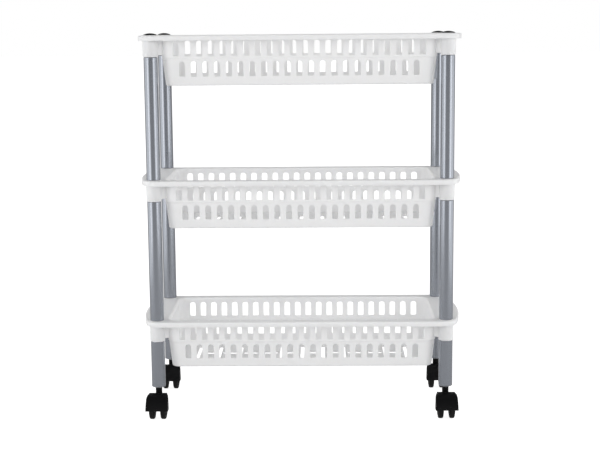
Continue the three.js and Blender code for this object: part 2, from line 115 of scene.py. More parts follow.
PLUG_RADIUS = 9.4
HUB_RADIUS = 6.5
WHEEL_BAND = 4.6
WHEEL_TAPER = 0.5
WHEEL_DISH = 2.6
WHEEL_EDGE = 2.4
RIB_COUNT = 6

# ---------- studio ----------
AMBIENT = 1.06             # soft light from all round, as it falls on matt surfaces
AMBIENT_OVERHEAD = 0.42    # how much of it is left straight above
AMBIENT_MIRRORED = 0.30    # the same surroundings, as shiny surfaces mirror them
FLOOR_GLOW = 0.1
FLOOR_GLOW_SEEN = 0.9

# Soft boxes in pairs, mirrored left and right: place, aim, width, height in metres, and watts
SOFT_BOXES = {
    "side_box": ((1.3, -0.35, 0.57), (0, -0.35, 0.57), 1.5, 1.12, 4.5),
    "front_box": ((1.35, -1.3, 0.57), (0, -0.1, 0.57), 0.9, 1.12, 4.0),
}

# ---------- camera, in metres and radians ----------
CAMERA_ASIDE = 0.0355
CAMERA_DISTANCE = 2.08     # in front of the baskets' middle
CAMERA_ABOVE_RIM = 0.0052
CAMERA_YAW = -0.0182
CAMERA_PITCH = 0.1503      # downwards
CAMERA_ROLL = 0.0085
CAMERA_LENS = 77.04        # millimetres, on a sensor 36 mm wide

# ---------- fineness of the meshes ----------
SLIVER = 0.01              # millimetres; closer than this, two points of a cut are one
GAP_SIDES = 8              # a gap that a dropped sliver leaves has at most this many sides
CORNER_STEPS = 9
ROUND_STEPS = 64
SMALL_STEPS = 40


# ---------- mesh helpers ----------

def add_object(name, mesh):
    piece = bpy.data.objects.new(name, mesh)
    bpy.context.scene.collection.objects.link(piece)
    return piece


def mesh_from(bm, name):
    bmesh.ops.recalc_face_normals(bm, faces=bm.faces)
    mesh = bpy.data.meshes.new(name)
    bm.to_mesh(mesh)
    bm.free()
    return mesh


def apply_modifiers(piece):
    """Keeps the shape that the modifiers make, and none of the modifiers."""
    graph = bpy.context.evaluated_depsgraph_get()
    baked = bpy.data.meshes.new_from_object(piece.evaluated_get(graph))
    baked.name = piece.name
    piece.modifiers.clear()
    piece.data = baked


def drop_slivers(piece):
    """Joins points that cuts left on top of each other, drops the faces without area, and closes
    the gaps of a few sides that they leave."""
    bm = bmesh.new()
    bm.from_mesh(piece.data)
    bmesh.ops.remove_doubles(bm, verts=bm.verts, dist=SLIVER * MM)
    bmesh.ops.dissolve_degenerate(bm, edges=bm.edges, dist=SLIVER * MM)
    bmesh.ops.holes_fill(bm, edges=bm.edges, sides=GAP_SIDES)
    bm.to_mesh(piece.data)
    bm.free()


def shade(piece, sharp_degrees=40):
    """Smooth shading that keeps edges over the angle crisp and wide flat faces flat."""
    mesh = piece.data
    mesh.polygons.foreach_set("use_smooth", [True] * len(mesh.polygons))
    mesh.set_sharp_from_angle(angle=math.radians(sharp_degrees))
    weighted = piece.modifiers.new("flat faces", "WEIGHTED_NORMAL")
    weighted.keep_sharp = True
    apply_modifiers(piece)


def round_edges(piece, width, segments=2, over_degrees=50):
    bevel = piece.modifiers.new("round edges", "BEVEL")
    bevel.width = width * MM
    bevel.segments = segments
    bevel.limit_method = "ANGLE"
    bevel.angle_limit = math.radians(over_degrees)
    bevel.use_clamp_overlap = False
    apply_modifiers(piece)


def combine(piece, other, operation):
    """Joins or cuts with another closed mesh, and uses it up."""
    boolean = piece.modifiers.new("combine", "BOOLEAN")
    boolean.operation = operation
    boolean.solver = "EXACT"
    boolean.object = other
    apply_modifiers(piece)
    bpy.data.objects.remove(other)


def arc(centre, radius, start, end, steps):
    """Points along an arc in a plane, both ends included. Angles in degrees."""
    points = []
    for i in range(steps + 1):
        angle = math.radians(start + (end - start) * i / steps)
        points.append((centre[0] + radius * math.cos(angle), centre[1] + radius * math.sin(angle)))
    return points


def lathe(name, profile, steps=ROUND_STEPS, axis="Z", place=(0, 0, 0)):
    """A closed turned solid. The profile is (radius, height) pairs in millimetres; it starts and ends
    on the axis, or its last pair repeats the first. Place is in metres."""
    bm = bmesh.new()
    closed = profile[0] == profile[-1]
    pairs = profile[:-1] if closed else profile
    rings = []
    for radius, height in pairs:
        if radius == 0:
            rings.append([bm.verts.new((0, 0, height * MM))] * steps)
            continue
        ring = []
        for i in range(steps):
            angle = 2 * math.pi * i / steps
            x = radius * MM * math.cos(angle)
            y = radius * MM * math.sin(angle)
            ring.append(bm.verts.new((x, y, height * MM)))
        rings.append(ring)
    if closed:
        rings.append(rings[0])
    for low, high in zip(rings, rings[1:]):
        for i in range(steps):
            j = (i + 1) % steps
            corners = []
            for vert in (low[i], low[j], high[j], high[i]):
                if vert not in corners:
                    corners.append(vert)
            if len(corners) > 2:
                bm.faces.new(corners)
    turn = Matrix.Rotation(math.radians(90), 4, "Y") if axis == "X" else Matrix.Identity(4)
    bmesh.ops.transform(bm, matrix=Matrix.Translation(Vector(place)) @ turn, verts=bm.verts)
    return add_object(name, mesh_from(bm, name))


def block(name, low, high):
    """A closed box between two corners, in metres. It is only used to cut or to join."""
    bm = bmesh.new()
    bmesh.ops.create_cube(bm, size=1)
    size = Vector(high) - Vector(low)
    middle = (Vector(high) + Vector(low)) / 2
    bmesh.ops.transform(bm, matrix=Matrix.Translation(middle) @ Matrix.Diagonal((*size, 1)), verts=bm.verts)
    return add_object(name, mesh_from(bm, name))


def centre_of(node):
    low, high = (Vector(corner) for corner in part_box(node))
    return (low + high) / 2


# ---------- materials ----------

class Look:
    """A Principled material with helpers for its procedural detail, all in object coordinates."""

    def __init__(self, name, roughness, **sockets):
        self.material = bpy.data.materials.new(name)
        self.material.use_nodes = True
        self.tree = self.material.node_tree
        self.shader = self.tree.nodes["Principled BSDF"]
        self.shader.inputs["Roughness"].default_value = roughness
        for socket, value in sockets.items():
            self.shader.inputs[socket.replace("_", " ")].default_value = value
        self.place = self.tree.nodes.new("ShaderNodeTexCoord").outputs["Object"]
        self.height = None

    def link(self, source, target):
        self.tree.links.new(source, target)

    def stretched(self, scale):
        mapping = self.tree.nodes.new("ShaderNodeMapping")
        mapping.inputs["Scale"].default_value = scale
        self.link(self.place, mapping.inputs["Vector"])
        return mapping.outputs["Vector"]

    def noise(self, scale, detail=3.0, vector=None):
        node = self.tree.nodes.new("ShaderNodeTexNoise")
        node.inputs["Scale"].default_value = scale
        node.inputs["Detail"].default_value = detail
        self.link(vector or self.place, node.inputs["Vector"])
        return node.outputs["Fac"]

    def cells(self, scale):
        node = self.tree.nodes.new("ShaderNodeTexVoronoi")
        node.inputs["Scale"].default_value = scale
        self.link(self.place, node.inputs["Vector"])
        return node.outputs["Color"]

    def between(self, factor, low, high, colour=False):
        """Spreads a factor between two values or colours."""
        node = self.tree.nodes.new("ShaderNodeMapRange" if not colour else "ShaderNodeMix")
        if not colour:
            node.inputs["From Min"].default_value = 0.3
            node.inputs["From Max"].default_value = 0.7
            node.inputs["To Min"].default_value = low
            node.inputs["To Max"].default_value = high
            self.link(factor, node.inputs["Value"])
            return node.outputs["Result"]
        node.data_type = "RGBA"
        self.link(factor, node.inputs["Factor"])
        node.inputs["A"].default_value = (*low, 1)
        node.inputs["B"].default_value = (*high, 1)
        return node.outputs["Result"]

    def colour(self, source):
        self.link(source, self.shader.inputs["Base Color"])

    def roughness(self, source):
        self.link(source, self.shader.inputs["Roughness"])

    def bump(self, height, strength, distance):
        """Adds a layer of bump on top of the layers so far. Distance is the depth in millimetres."""
        node = self.tree.nodes.new("ShaderNodeBump")
        node.inputs["Strength"].default_value = strength
        node.inputs["Distance"].default_value = distance * MM
        self.link(height, node.inputs["Height"])
        if self.height is not None:
            self.link(self.height, node.inputs["Normal"])
        self.height = node.outputs["Normal"]
        self.link(self.height, self.shader.inputs["Normal"])

    def edges(self):
        """A factor that rises on convex edges."""
        pointiness = self.tree.nodes.new("ShaderNodeNewGeometry").outputs["Pointiness"]
        node = self.tree.nodes.new("ShaderNodeMapRange")
        node.inputs["From Min"].default_value = 0.52
        node.inputs["From Max"].default_value = 0.62
        self.link(pointiness, node.inputs["Value"])
        return node.outputs["Result"]


def basket_look():
    look = Look("white_polypropylene", 0.36, Subsurface_Weight=0.7, Subsurface_Scale=0.005, IOR=1.49)
    look.shader.inputs["Subsurface Radius"].default_value = (1.0, 0.98, 0.94)
    cloud = look.noise(9.0, 4.0)
    look.colour(look.between(cloud, (0.92, 0.92, 0.925), (0.95, 0.95, 0.954), colour=True))
    look.roughness(look.between(look.noise(55.0), 0.33, 0.42))
    look.bump(look.noise(45.0, 2.0), 0.25, 0.12)
    look.bump(look.noise(2600.0, 2.0), 0.22, 0.03)
    return look.material


def tube_look():
    look = Look("silver_grey_paint", 0.28, Metallic=0.85, Coat_Weight=0.2, Coat_Roughness=0.12)
    flake = look.cells(5200.0)
    grain = look.between(flake, (0.30, 0.32, 0.36), (0.40, 0.42, 0.46), colour=True)
    look.colour(grain)
    look.roughness(look.between(look.noise(30.0, 4.0, look.stretched((1, 1, 0.15))), 0.15, 0.20))
    look.bump(look.noise(700.0, 2.0), 0.16, 0.04)
    return look.material


def black_look():
    look = Look("black_moulded_plastic", 0.36, IOR=1.5, Specular_IOR_Level=0.14)
    # Painted highlight: the convex edges are painted a lighter black, as if they caught the light.
    edge_highlight = look.edges()
    look.colour(look.between(edge_highlight, (0.004, 0.004, 0.0045), (0.014, 0.014, 0.015), colour=True))
    look.roughness(look.between(look.noise(120.0), 0.3, 0.42))
    look.bump(look.noise(2200.0, 3.0), 0.25, 0.03)
    return look.material


def wheel_look():
    look = Look("black_nylon", 0.5, Specular_IOR_Level=0.2)
    dust = look.noise(260.0, 6.0)
    look.colour(look.between(dust, (0.005, 0.005, 0.0055), (0.012, 0.0115, 0.011), colour=True))
    look.roughness(look.between(look.noise(180.0), 0.42, 0.6))
    look.bump(look.noise(1500.0, 3.0), 0.3, 0.04)
    return look.material


def joiner_look():
    look = Look("white_joiner_plastic", 0.5)
    look.colour(look.between(look.noise(40.0), (0.76, 0.76, 0.77), (0.82, 0.82, 0.83), colour=True))
    look.bump(look.noise(1800.0), 0.2, 0.03)
    return look.material


def steel_look():
    look = Look("zinc_plated_steel", 0.32, Metallic=1.0)
    drawn = look.noise(900.0, 3.0, look.stretched((1, 1, 8)))
    look.colour(look.between(drawn, (0.50, 0.51, 0.53), (0.66, 0.67, 0.69), colour=True))
    look.roughness(look.between(drawn, 0.26, 0.4))
    look.bump(drawn, 0.15, 0.02)
    return look.material


LOOKS = {
    "basket_plastic": basket_look(),
    "tube_paint": tube_look(),
    "black_plastic": black_look(),
    "wheel_nylon": wheel_look(),
    "socket_nylon": wheel_look(),
    "joiner_plastic": joiner_look(),
    "steel": steel_look(),
}


def settle(piece, body, slot, *nodes):
    """Gives a piece its material and its body, and hides the nodes that it stands for."""
    piece.data.materials.clear()
    piece.data.materials.append(LOOKS[slot])
    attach(piece, body)
    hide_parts(*nodes)


# ---------- baskets, about the centre of the rim's top face ----------

def wall_inset(depth):
    """How far the tub's inner face has moved in, at a depth below the rim."""
    if depth <= STEP_AT:
        return UPPER_DRAFT * depth / STEP_AT
    return UPPER_DRAFT + STEP_SIZE + LOWER_TAPER * (depth - STEP_AT) / (FLOOR_AT - STEP_AT)


def column_line(index, columns, straight):
    return max(-straight, min(straight, index * SLOT_HALF_PITCH))


def side_columns():
    """The four walls in order around the tub: half length, count of half pitches, and direction."""
    along_x = TUB_HALF_LENGTH - TUB_CORNER
    along_y = TUB_HALF_DEPTH - TUB_CORNER
    return (
        (along_x, SIDE_COLUMNS, along_y, (1, 0), (0, -1)),
        (along_y, END_COLUMNS, along_x, (0, 1), (1, 0)),
        (along_x, SIDE_COLUMNS, along_y, (-1, 0), (0, 1)),
        (along_y, END_COLUMNS, along_x, (0, -1), (-1, 0)),
    )


def tub_loop(inset, z):
    """The tub's plan moved in by inset, as points in order around it."""
    radius = TUB_CORNER - inset
    points = []
    for straight, columns, distance, along, outward in side_columns():
        reach = distance + radius
        for index in range(-columns, columns + 1):
            s = column_line(index, columns, straight)
            points.append((along[0] * s + outward[0] * reach, along[1] * s + outward[1] * reach, z))
        centre = (
            along[0] * straight + outward[0] * distance,
            along[1] * straight + outward[1] * distance,
        )
        start = math.degrees(math.atan2(outward[1], outward[0]))
        for x, y in arc(centre, radius, start, start + 90, CORNER_STEPS)[1:-1]:
            points.append((x, y, z))
    return points


def rim_loop(inset, z):
    """The rim's plan moved in by inset, with one point for each point of the tub's loop."""
    low, high = (Vector(corner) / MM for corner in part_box("basket_top"))
    half_length = (high.x - low.x) / 2
    half_depth = (high.y - low.y) / 2
    corner_y = half_depth - RIM_CORNER_RADIUS
    end_centre = half_length - RIM_END_RADIUS
    reach = RIM_END_RADIUS - RIM_CORNER_RADIUS
    corner_x = end_centre + math.sqrt(reach ** 2 - corner_y ** 2)
    join = math.degrees(math.asin(corner_y / reach))
    corner_radius = RIM_CORNER_RADIUS - inset
    points = []
    for side, (straight, columns, _, along, outward) in enumerate(side_columns()):
        on_end = side % 2 == 1
        facing = math.degrees(math.atan2(outward[1], outward[0]))
        for index in range(-columns, columns + 1):
            share = column_line(index, columns, straight) / straight
            if on_end:
                angle = math.radians(facing + join * share)
                radius = RIM_END_RADIUS - inset
                x = outward[0] * end_centre + radius * math.cos(angle)
                y = radius * math.sin(angle)
            else:
                x = along[0] * corner_x * share
                y = outward[1] * (half_depth - inset)
            points.append((x, y, z))
        centre = (
            (along[0] + outward[0]) * corner_x,
            (along[1] + outward[1]) * corner_y,
        )
        start = facing + join if on_end else facing
        end = facing + 90 if on_end else facing + 90 - join
        for x, y in arc(centre, corner_radius, start, end, CORNER_STEPS)[1:-1]:
            points.append((x, y, z))
    return points


def slot_path(top, bottom, rise):
    """Half of a slot's outline, from the middle of its flat foot round to the top of its arch."""
    foot = arc((SLOT_HALF_WIDTH - SLOT_FOOT_ROUND, bottom + SLOT_FOOT_ROUND), SLOT_FOOT_ROUND, -90, 0, 2)
    arch = [(SLOT_HALF_WIDTH * x, top - rise * (1 - y)) for x, y in arc((0, 0), 1, 0, 90, 5)]
    return [(0, bottom), *foot, *arch]


class Shell:
    """The basket's sheet: loops of points around it, joined by faces, with slots left open."""

    def __init__(self):
        self.bm = bmesh.new()
        self.last = None
        self.last_inset = None

    def add_loop(self, points):
        return [self.bm.verts.new(Vector(point) * MM) for point in points]

    def quads(self, upper, lower, indices):
        count = len(upper)
        for i in indices:
            j = (i + 1) % count
            self.bm.faces.new((upper[i], upper[j], lower[j], lower[i]))

    def to(self, points):
        """Carries the sheet on to the next loop with plain faces."""
        loop = self.add_loop(points)
        if self.last is not None:
            self.quads(self.last, loop, range(len(loop)))
        self.last = loop

    def to_through_slots(self, band, slot, first_column):
        """Carries the sheet down a band of wall with a row of slots in it. Slots stand on every
        second column line, from first_column on."""
        top, bottom = band
        upper = self.last
        inset_top = wall_inset(-top)
        inset_bottom = wall_inset(-bottom)
        lower = self.add_loop(tub_loop(inset_bottom, bottom))
        start = 0
        for straight, columns, distance, along, outward in side_columns():
            width = 2 * columns
            slotted = range(first_column, width, 2)
            plain = [c for c in range(width) if c not in slotted and c + 1 not in slotted]
            self.quads(upper, lower, [start + c for c in plain])
            self.quads(upper, lower, range(start + width, start + width + CORNER_STEPS))
            for column in slotted:
                s = (column - columns) * SLOT_HALF_PITCH

                def point(offset, z):
                    share = (top - z) / (top - bottom)
                    inset = inset_top + (inset_bottom - inset_top) * share
                    reach = distance + TUB_CORNER - inset
                    place = (
                        along[0] * (s + offset) + outward[0] * reach,
                        along[1] * (s + offset) + outward[1] * reach,
                        z,
                    )
                    return self.bm.verts.new(Vector(place) * MM)

                right = [point(x, z) for x, z in slot_path(*slot)]
                left = [point(-x, z) for x, z in slot_path(*slot)[1:-1]]
                middle = start + column
                foot, crown = right[0], right[-1]
                self.bm.faces.new((
                    lower[middle], lower[middle + 1], upper[middle + 1], upper[middle],
                    crown, *reversed(right[1:-1]), foot,
                ))
                self.bm.faces.new((
                    lower[middle], foot, *left, crown,
                    upper[middle], upper[middle - 1], lower[middle - 1],
                ))
            start += width + CORNER_STEPS
        self.last = lower

    def close_with_floor(self):
        """Fills the last loop with a flat floor that leaves its slots open."""
        count = len(self.last)
        edges = [self.bm.edges.get((self.last[i], self.last[(i + 1) % count])) for i in range(count)]
        for x, opening in floor_openings():
            outline = rounded_opening(x, *opening)
            loop = self.add_loop([(px, py, -FLOOR_AT) for px, py in outline])
            for i, vert in enumerate(loop):
                edges.append(self.bm.edges.new((vert, loop[(i + 1) % len(loop)])))
        bmesh.ops.triangle_fill(self.bm, use_beauty=True, edges=edges, normal=(0, 0, 1))


def floor_openings():
    """Each opening's place along X with its half sizes and corner radius."""
    openings = []
    for i in range(FLOOR_COLUMNS):
        x = (i - (FLOOR_COLUMNS - 1) / 2) * FLOOR_COLUMN_PITCH
        openings.append((x, FLOOR_SLOT))
        if i < FLOOR_COLUMNS - 1:
            openings.append((x + FLOOR_COLUMN_PITCH / 2, FLOOR_WINDOW))
    return openings


def rounded_opening(x, half_x, half_y, radius):
    across = half_x - radius
    along = half_y - radius
    return [
        *arc((x + across, along), radius, 0, 90, 4),
        *arc((x - across, along), radius, 90, 180, 4),
        *arc((x - across, -along), radius, 180, 270, 4),
        *arc((x + across, -along), radius, 270, 360, 4),
    ]


def basket_shell():
    shell = Shell()
    shell.to(rim_loop(0, -LIP_DROP))
    for x, z in arc((LIP_ROUND, -LIP_ROUND), LIP_ROUND, 180, 90, 4):
        shell.to(rim_loop(x, z))
    for x, z in arc((-MOUTH_ROUND, -MOUTH_ROUND), MOUTH_ROUND, 90, 0, 4):
        shell.to(tub_loop(x, z))
    shell.to(tub_loop(wall_inset(-UPPER_BAND[0]), UPPER_BAND[0]))
    shell.to_through_slots(UPPER_BAND, UPPER_SLOT, 1)
    shell.to(tub_loop(wall_inset(STEP_AT) + STEP_SIZE, -STEP_AT - STEP_SIZE))
    shell.to(tub_loop(wall_inset(-LOWER_BAND[0]), LOWER_BAND[0]))
    shell.to_through_slots(LOWER_BAND, LOWER_SLOT, 2)
    fillet_top = FLOOR_AT - FLOOR_FILLET
    inset = wall_inset(fillet_top)
    for x, z in arc((inset + FLOOR_FILLET, -fillet_top), FLOOR_FILLET, 180, 270, 5):
        shell.to(tub_loop(x, z))
    shell.close_with_floor()
    return shell.bm


def make_basket(name):
    piece = add_object(name, mesh_from(basket_shell(), name))
    solid = piece.modifiers.new("thickness", "SOLIDIFY")
    solid.thickness = SHEET * MM
    solid.use_even_offset = True
    top_face = max(piece.data.polygons, key=lambda face: face.center.z)
    solid.offset = -1 if top_face.normal.z > 0 else 1
    apply_modifiers(piece)
    round_edges(piece, 0.35)
    return piece


def web_to_tub(leg):
    """A thin wall from a leg's axis to the middle of the tub's sheet at the nearest corner."""
    corner = Vector((
        math.copysign(TUB_HALF_LENGTH - TUB_CORNER, leg.x) * MM,
        math.copysign(TUB_HALF_DEPTH - TUB_CORNER, leg.y) * MM,
    ))
    towards = corner - Vector((leg.x, leg.y))
    length = towards.length - (TUB_CORNER + SHEET / 2) * MM
    half = WEB_HALF_THICKNESS * MM
    web = block("web", (0, -half, -WEB_DROP * MM), (length, half, -SHEET / 2 * MM))
    turn = Matrix.Rotation(math.atan2(towards.y, towards.x), 4, "Z")
    web.data.transform(Matrix.Translation((leg.x, leg.y, 0)) @ turn)
    return web


def add_collars(piece):
    """Moulds a webbed collar with a low ring on top under each corner, and bores it for the leg."""
    middle = centre_of("basket_top")
    for corner in CORNERS:
        leg = centre_of(f"upper_tube_{corner}") - middle
        place = (leg.x, leg.y, 0)
        foot = arc((COLLAR_FOOT - 0.6, 0.6 - COLLAR_DROP), 0.6, -90, 0, 3)
        crown = arc((COLLAR_TOP - 0.5, RING_HEIGHT - 0.5), 0.5, 0, 90, 3)
        profile = [(0, -COLLAR_DROP), *foot, (COLLAR_TOP, -SHEET - 0.4), *crown, (0, RING_HEIGHT)]
        combine(piece, web_to_tub(leg), "UNION")
        combine(piece, lathe("collar", profile, SMALL_STEPS, place=place), "UNION")
        bore = [(0, -COLLAR_DROP - 2), (BORE, -COLLAR_DROP - 2), (BORE, 3), (0, 3)]
        combine(piece, lathe("bore", bore, SMALL_STEPS, place=place), "DIFFERENCE")


def make_baskets():
    pattern = make_basket("basket_shell")
    add_collars(pattern)
    drop_slivers(pattern)
    shade(pattern)
    for tier in TIERS:
        node = f"basket_{tier}"
        middle = centre_of(node)
        rim_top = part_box(node)[1][2] - RING_HEIGHT * MM
        mesh = pattern.data.copy()
        mesh.transform(Matrix.Translation((middle.x, middle.y, rim_top)))
        piece = add_object(f"moulded_basket_{tier}", mesh)
        settle(piece, "frame", "basket_plastic", node)
    bpy.data.objects.remove(pattern)


# ---------- legs ----------

def tube_profile(radius, bore, low, high, edge=0.35):
    """A tube's wall with its ends rounded over."""
    return [
        (bore, low), (radius - edge, low), (radius - 0.3 * edge, low + 0.3 * edge), (radius, low + edge),
        (radius, high - edge), (radius - 0.3 * edge, high - 0.3 * edge), (radius - edge, high), (bore, high),
        (bore, low),
    ]


def make_tubes():
    for corner in CORNERS:
        for part in ("upper", "lower", "foot"):
            node = f"{part}_tube_{corner}"
            low, high = (Vector(c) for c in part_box(node))
            middle = (low + high) / 2
            half = (high.z - low.z) / 2 / MM
            radius = (high.x - low.x) / 2 / MM
            profile = tube_profile(radius, BORE, -half, half, 0.7)
            piece = lathe(f"leg_{node}", profile, ROUND_STEPS, place=middle)
            shade(piece, 60)
            settle(piece, "frame", "tube_paint", node)


def make_caps():
    """A shallow dome with a soft edge, on a stem that fills the collar."""
    for corner in CORNERS:
        node = f"top_cap_{corner}"
        low, high = (Vector(c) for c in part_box(node))
        middle = (low + high) / 2
        radius = (high.x - low.x) / 2 / MM
        rim_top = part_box("basket_top")[1][2]
        top = (high.z - rim_top) / MM
        stem_foot = (low.z - rim_top) / MM
        edge = 0.5
        underside = 0.3
        sphere = ((radius - edge) ** 2 + (top - underside - edge) ** 2) / (2 * (top - underside - edge))
        spread = math.degrees(math.asin((radius - edge) / sphere))
        dome = arc((0, top - sphere), sphere, 90 - spread, 90, 8)
        profile = [
            (0, stem_foot), (8.4, stem_foot), (9.4, stem_foot + 1), (9.4, underside),
            (radius - 0.3, underside),
            (radius, underside + 0.3), *dome[:-1], (0, top),
        ]
        piece = lathe(f"domed_{node}", profile, ROUND_STEPS, place=(middle.x, middle.y, rim_top))
        shade(piece, 50)
        settle(piece, "frame", "black_plastic", node)


# ---------- casters ----------

def hood_body(name, place, half_width, radius, low_x, high_x, inset=0.0):
    """What a drum about the axle has in common with the hood's front outline: sides that lean in
    towards a flat crown with round shoulders. Moved in by inset, and open towards the ground."""
    crown = (half_width - HOOD_BULGE - HOOD_SHOULDER, radius - HOOD_SHOULDER)
    right = arc(crown, HOOD_SHOULDER - inset, 0, 90, 7)
    left = [(-x, z) for x, z in reversed(right)]
    lean = HOOD_BULGE / (crown[1] + AXLE_HEIGHT - HOOD_BOTTOM)
    foot = half_width - inset + lean * HOOD_OPEN
    outline = [(-foot, HOOD_BOTTOM - AXLE_HEIGHT - HOOD_OPEN), (foot, HOOD_BOTTOM - AXLE_HEIGHT - HOOD_OPEN)]
    bm = bmesh.new()
    reach = radius + 2
    rings = []
    for y in (-reach, reach):
        rings.append([bm.verts.new((x * MM, y * MM, z * MM)) for x, z in (*outline, *right, *left)])
    count = len(rings[0])
    for i in range(count):
        j = (i + 1) % count
        bm.faces.new((rings[0][i], rings[0][j], rings[1][j], rings[1][i]))
    for ring in rings:
        bm.faces.new(ring)
    bmesh.ops.transform(bm, matrix=Matrix.Translation(place), verts=bm.verts)
    body = add_object(name, mesh_from(bm, name))
    drum = [(0, low_x), (radius - inset, low_x), (radius - inset, high_x), (0, high_x)]
    combine(body, lathe("drum", drum, ROUND_STEPS, "X", place), "INTERSECT")
    return body


def below_edge(place, rise):
    """Everything below a plane through a place, which rises towards the rear."""
    reach = 0.08
    below = block("below", (-reach, -reach, -reach), (reach, reach, 0))
    below.data.transform(Matrix.Translation(place) @ Matrix.Rotation(rise, 4, "X"))
    return below


def hood_plan(place, half_width, radius):
    """The hood seen from above, as an upright prism: sides that draw in towards the rear."""
    wide = half_width + 0.5
    turn = HOOD_SIDE_DEPTH - radius - 0.5
    rear = radius + 0.5
    narrow = HOOD_REAR_HALF_WIDTH
    right = [(wide, -radius - 1), (wide, turn), (narrow, rear)]
    outline = right + [(-x, y) for x, y in reversed(right)]
    bm = bmesh.new()
    rings = []
    for z in (-place.z / MM - 2, 2 * radius):
        rings.append([bm.verts.new((x * MM, y * MM, z * MM)) for x, y in outline])
    for i in range(len(outline)):
        j = (i + 1) % len(outline)
        bm.faces.new((rings[0][i], rings[0][j], rings[1][j], rings[1][i]))
    for ring in rings:
        bm.faces.new(ring)
    bmesh.ops.transform(bm, matrix=Matrix.Translation(place), verts=bm.verts)
    return add_object("plan", mesh_from(bm, "plan"))


def make_hood(corner):
    node = f"caster_hood_{corner}"
    low, high = (Vector(c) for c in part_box(node))
    leg = centre_of(f"caster_stem_{corner}")
    place = centre_of(f"axle_{corner}")
    half_width = (high.x - low.x) / 2 / MM
    radius = (place.y - low.y) / MM
    hood = hood_body(f"moulded_{node}", place, half_width, radius, -half_width - 1, half_width + 1)
    combine(hood, hood_plan(place, half_width, radius), "INTERSECT")
    round_edges(hood, HOOD_EDGE, 3, 40)
    front_foot = Vector((place.x, low.y, HOOD_BOTTOM * MM))
    side_foot = front_foot + Vector((0, HOOD_SIDE_DEPTH * MM, 0))
    rise = math.atan2(HOOD_REAR_EDGE - HOOD_BOTTOM, 2 * radius - HOOD_SIDE_DEPTH)
    combine(hood, below_edge(front_foot, 0), "DIFFERENCE")
    combine(hood, below_edge(side_foot, rise), "DIFFERENCE")
    neck_top = high.z / MM
    neck = [(0, HOOD_BOTTOM + 2), (NECK_RADIUS, HOOD_BOTTOM + 2), (NECK_RADIUS, neck_top), (0, neck_top)]
    combine(hood, lathe("neck", neck, SMALL_STEPS, place=(leg.x, leg.y, 0)), "UNION")
    for low_x, high_x in ((-half_width, -WEB_HALF), (WEB_HALF, half_width)):
        cavity = hood_body("cavity", place, half_width, radius, low_x, high_x, HOOD_WALL)
        combine(hood, cavity, "DIFFERENCE")
    plate = WEB_HALF - CLEAR
    web = hood_body("web", place, half_width, radius, -plate, plate, 3 * CLEAR)
    combine(web, below_edge(front_foot, 0), "DIFFERENCE")
    combine(hood, web, "UNION")
    face = WEB_HALF - CLEAR / 2
    boss = [(0, -face), (BOSS_RADIUS, -face), (BOSS_RADIUS, face), (0, face)]
    combine(hood, lathe("boss", boss, SMALL_STEPS, "X", place), "UNION")
    pin = [(0, -WEB_HALF - 1), (AXLE_HOLE, -WEB_HALF - 1), (AXLE_HOLE, WEB_HALF + 1), (0, WEB_HALF + 1)]
    combine(hood, lathe("pin", pin, SMALL_STEPS, "X", place), "DIFFERENCE")
    stem = [(0, STEM_FOOT), (STEM_HOLE, STEM_FOOT), (STEM_HOLE, neck_top + 2), (0, neck_top + 2)]
    combine(hood, lathe("stem", stem, SMALL_STEPS, place=(leg.x, leg.y, 0)), "DIFFERENCE")
    drop_slivers(hood)
    round_edges(hood, 0.3, 2, 50)
    drop_slivers(hood)
    shade(hood, 45)
    settle(hood, f"caster_{corner}", "black_plastic", node)


def make_wheel(side, corner):
    node = f"wheel_{side}_{corner}"
    low, high = (Vector(c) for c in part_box(node))
    middle = (low + high) / 2
    radius = (high.z - low.z) / 2 / MM
    half = (high.x - low.x) / 2 / MM
    outward = 1 if middle.x > centre_of(f"axle_{corner}").x else -1
    edge = half - WHEEL_TAPER - WHEEL_EDGE
    tread_out = arc((radius - WHEEL_EDGE, edge), WHEEL_EDGE, 0, 90, 5)
    tread_in = arc((radius - WHEEL_EDGE, -edge), WHEEL_EDGE, -90, 0, 5)
    band = radius - WHEEL_BAND
    dish = half - WHEEL_DISH
    section = [
        (AXLE_HOLE, -half), (band, -half), *tread_in, *tread_out, (band, half), (band - 0.6, dish),
        (HUB_RADIUS + 0.5, dish), (HUB_RADIUS, half), (AXLE_HOLE, half), (AXLE_HOLE, -half),
    ]
    profile = [(r, outward * x) for r, x in section]
    wheel = lathe(f"moulded_{node}", profile, ROUND_STEPS, "X", middle)
    for i in range(RIB_COUNT):
        low_x, high_x = sorted((outward * (dish - 0.5) * MM, outward * (half - 0.6) * MM))
        rib = block("rib", (low_x, -0.0009, (HUB_RADIUS - 0.8) * MM), (high_x, 0.0009, (band + 0.5) * MM))
        turn = Matrix.Rotation(2 * math.pi * i / RIB_COUNT, 4, "X")
        rib.data.transform(Matrix.Translation(middle) @ turn)
        combine(wheel, rib, "UNION")
    round_edges(wheel, 0.2, 2, 50)
    shade(wheel, 45)
    settle(wheel, f"wheel_{side}_{corner}", "wheel_nylon", node)


def make_axle(corner):
    node = f"axle_{corner}"
    low, high = (Vector(c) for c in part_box(node))
    middle = (low + high) / 2
    half = (high.x - low.x) / 2 / MM
    radius = (high.y - low.y) / 2 / MM
    profile = [
        (0, -half), (radius - 0.4, -half), (radius, 0.4 - half), (radius, half - 0.4), (radius - 0.4, half),
        (0, half),
    ]
    axle = lathe(f"turned_{node}", profile, SMALL_STEPS, "X", middle)
    shade(axle, 50)
    settle(axle, f"caster_{corner}", "steel", node)


# ---------- parts inside the legs ----------

def turned_part(node, body, slot, profile):
    """Stands in for a node with a smooth turned solid about its own axis. Heights are measured from
    the middle of the node's box."""
    piece = lathe(f"turned_{node}", profile, SMALL_STEPS, place=centre_of(node))
    shade(piece, 50)
    settle(piece, body, slot, node)


def half_height(node):
    low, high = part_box(node)
    return (high[2] - low[2]) / 2 / MM


